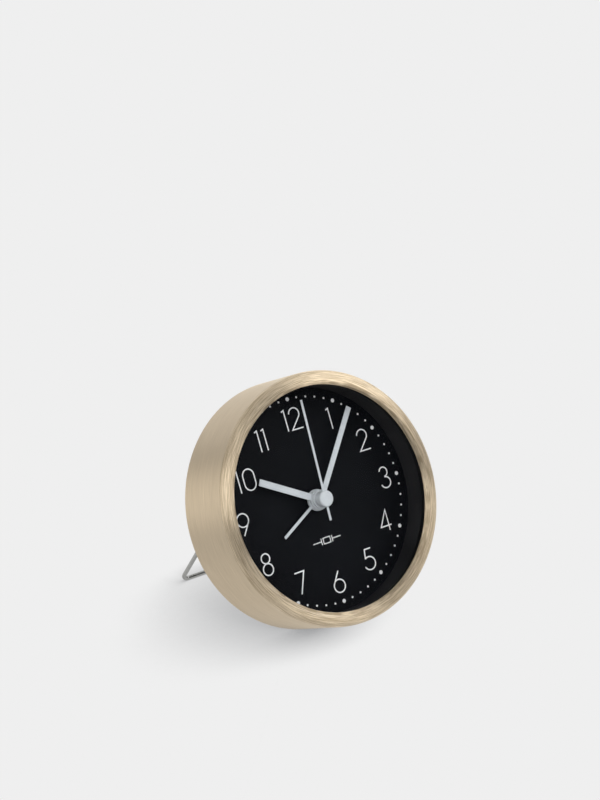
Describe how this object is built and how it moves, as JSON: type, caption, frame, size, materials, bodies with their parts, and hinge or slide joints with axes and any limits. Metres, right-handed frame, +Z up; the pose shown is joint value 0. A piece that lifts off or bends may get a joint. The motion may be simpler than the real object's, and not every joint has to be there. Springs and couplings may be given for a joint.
{
  "type": "travel alarm clock",
  "caption": "Round leaning alarm clock: brushed gold metal cup, black dial with slim pale hands, black back cover with set knobs, battery door, alarm switch and a folding wire stand.",
  "frame": {"origin": "on the table, under the middle of the outline of the clock and its opened stand", "axes": "+Z up, the dial faces -Y and leans back by 27 degrees, +X to the right of the dial"},
  "size_m": [0.09, 0.081, 0.0914],
  "materials": {
    "gold_aluminium": "satin, circumferentially brushed, pale gold anodised",
    "black_plastic": "fine moulded texture",
    "dial_black": "satin black lacquer with pale printing",
    "hand_white": "satin pale grey",
    "glass": "polished",
    "steel": "drawn",
    "gear_acetal": "moulded acetal",
    "gear_brass": "satin",
    "movement_plastic": "moulded",
    "copper": "enamelled wire",
    "silicon_steel": "stamped laminations",
    "magnet": "sintered",
    "board_green": "solder mask",
    "epoxy": "glossy potting",
    "ceramic_white": "sintered",
    "nickel": "plated",
    "battery_sleeve": "printed foil sleeve",
    "rubber": "soft"
  },
  "bodies": {
    "clock": {"case": "gold_aluminium", "glass_gasket": "rubber", "glass": "glass", "spacer_ring": "black_plastic", "dial": "dial_black", "dial_carrier": "black_plastic", "back_cover": "black_plastic", "cover_screws": "steel", "movement_front_plate": "movement_plastic", "movement_middle_plate": "movement_plastic", "movement_housing": "movement_plastic", "movement_screws": "steel", "stator": "silicon_steel", "coil_core": "silicon_steel", "coil_bobbin": "gear_acetal", "coil_winding": "copper", "circuit_board": "board_green", "controller_chip": "epoxy", "quartz_crystal": "nickel", "capacitor": "ceramic_white", "sounder_plate": "gear_brass", "sounder_disc": "ceramic_white", "alarm_contact_spring": "nickel", "alarm_switch_contact": "nickel", "battery": "battery_sleeve", "battery_contact_positive": "nickel", "battery_contact_negative": "nickel"},
    "second": {"second_hand": "hand_white", "second_hand_cap": "hand_white", "second_arbor": "steel", "second_wheel": "gear_acetal"},
    "third": {"third_arbor": "steel", "third_wheel": "gear_acetal"},
    "centre": {"centre_wheel": "gear_brass"},
    "intermediate": {"intermediate_arbor": "steel", "intermediate_wheel": "gear_acetal"},
    "rotor": {"rotor_arbor": "steel", "rotor_pinion": "gear_acetal", "rotor_magnet": "magnet"},
    "time_setting": {"minute_work_wheel": "gear_acetal", "time_set_shaft": "steel", "time_set_knob": "black_plastic"},
    "minute": {"minute_hand": "hand_white", "minute_hand_bush": "hand_white", "minute_pipe": "gear_brass"},
    "hour": {"hour_hand": "hand_white", "hour_hand_bush": "hand_white", "hour_wheel": "gear_acetal"},
    "alarm_setting": {"alarm_set_shaft": "steel", "alarm_set_pinion": "gear_acetal", "alarm_set_knob": "black_plastic"},
    "alarm": {"alarm_hand": "hand_white", "alarm_hand_bush": "hand_white", "alarm_wheel": "gear_acetal"},
    "switch": {"alarm_switch_slider": "black_plastic"},
    "door": {"battery_door": "black_plastic"},
    "stand": {"wire_stand": "steel"}
  },
  "joints": [
    {"name": "second_hand_turn", "type": "hinge", "parent": "clock", "child": "second", "pos_m": [0, -0.00758, 0.04536], "axis": [0, 0.891, -0.454], "continuous": true},
    {"name": "third_wheel_turn", "type": "hinge", "parent": "clock", "child": "third", "pos_m": [0.01018, -0.00102, 0.04282], "axis": [0, 0.891, -0.454], "continuous": true},
    {"name": "centre_wheel_turn", "type": "hinge", "parent": "clock", "child": "centre", "pos_m": [0, -0.0025, 0.04277], "axis": [0, 0.891, -0.454], "continuous": true},
    {"name": "intermediate_wheel_turn", "type": "hinge", "parent": "clock", "child": "intermediate", "pos_m": [-0.01049, 0.00061, 0.0416], "axis": [0, 0.891, -0.454], "continuous": true},
    {"name": "rotor_turn", "type": "hinge", "parent": "clock", "child": "rotor", "pos_m": [-0.01601, 0.00222, 0.04697], "axis": [0, 0.891, -0.454], "continuous": true},
    {"name": "time_set_turn", "type": "hinge", "parent": "clock", "child": "time_setting", "pos_m": [-0.00619, 0.00535, 0.0487], "axis": [0, 0.891, -0.454], "continuous": true},
    {"name": "minute_hand_turn", "type": "hinge", "parent": "clock", "child": "minute", "pos_m": [0, -0.00758, 0.04536], "axis": [0, 0.891, -0.454], "continuous": true},
    {"name": "hour_hand_turn", "type": "hinge", "parent": "clock", "child": "hour", "pos_m": [0, -0.00847, 0.04582], "axis": [0, 0.891, -0.454], "continuous": true},
    {"name": "alarm_set_turn", "type": "hinge", "parent": "clock", "child": "alarm_setting", "pos_m": [0.00654, 0.00691, 0.05177], "axis": [0, 0.891, -0.454], "continuous": true},
    {"name": "alarm_hand_turn", "type": "hinge", "parent": "clock", "child": "alarm", "pos_m": [0, -0.00891, 0.04604], "axis": [0, 0.891, -0.454], "continuous": true},
    {"name": "alarm_switch_slide", "type": "slide", "parent": "clock", "child": "switch", "axis": [0, 0.454, 0.891], "range_m": [0, 0.0035]},
    {"name": "battery_door_open", "type": "hinge", "parent": "clock", "child": "door", "pos_m": [0, -0.00674, 0.01407], "axis": [-1, 0, 0], "range_deg": [0, 75]},
    {"name": "stand_fold", "type": "hinge", "parent": "clock", "child": "stand", "pos_m": [0, 0.01474, 0.05172], "axis": [1, 0, 0], "range_deg": [-52.8, 0]}
  ],
  "couplings": [
    {"joint": "third_wheel_turn", "follows": "second_hand_turn", "ratio": -0.13333},
    {"joint": "centre_wheel_turn", "follows": "second_hand_turn", "ratio": 0.016667},
    {"joint": "intermediate_wheel_turn", "follows": "second_hand_turn", "ratio": -6},
    {"joint": "rotor_turn", "follows": "second_hand_turn", "ratio": 30},
    {"joint": "minute_hand_turn", "follows": "time_set_turn", "ratio": -3},
    {"joint": "hour_hand_turn", "follows": "time_set_turn", "ratio": -0.25},
    {"joint": "alarm_hand_turn", "follows": "alarm_set_turn", "ratio": -0.33333}
  ]
}
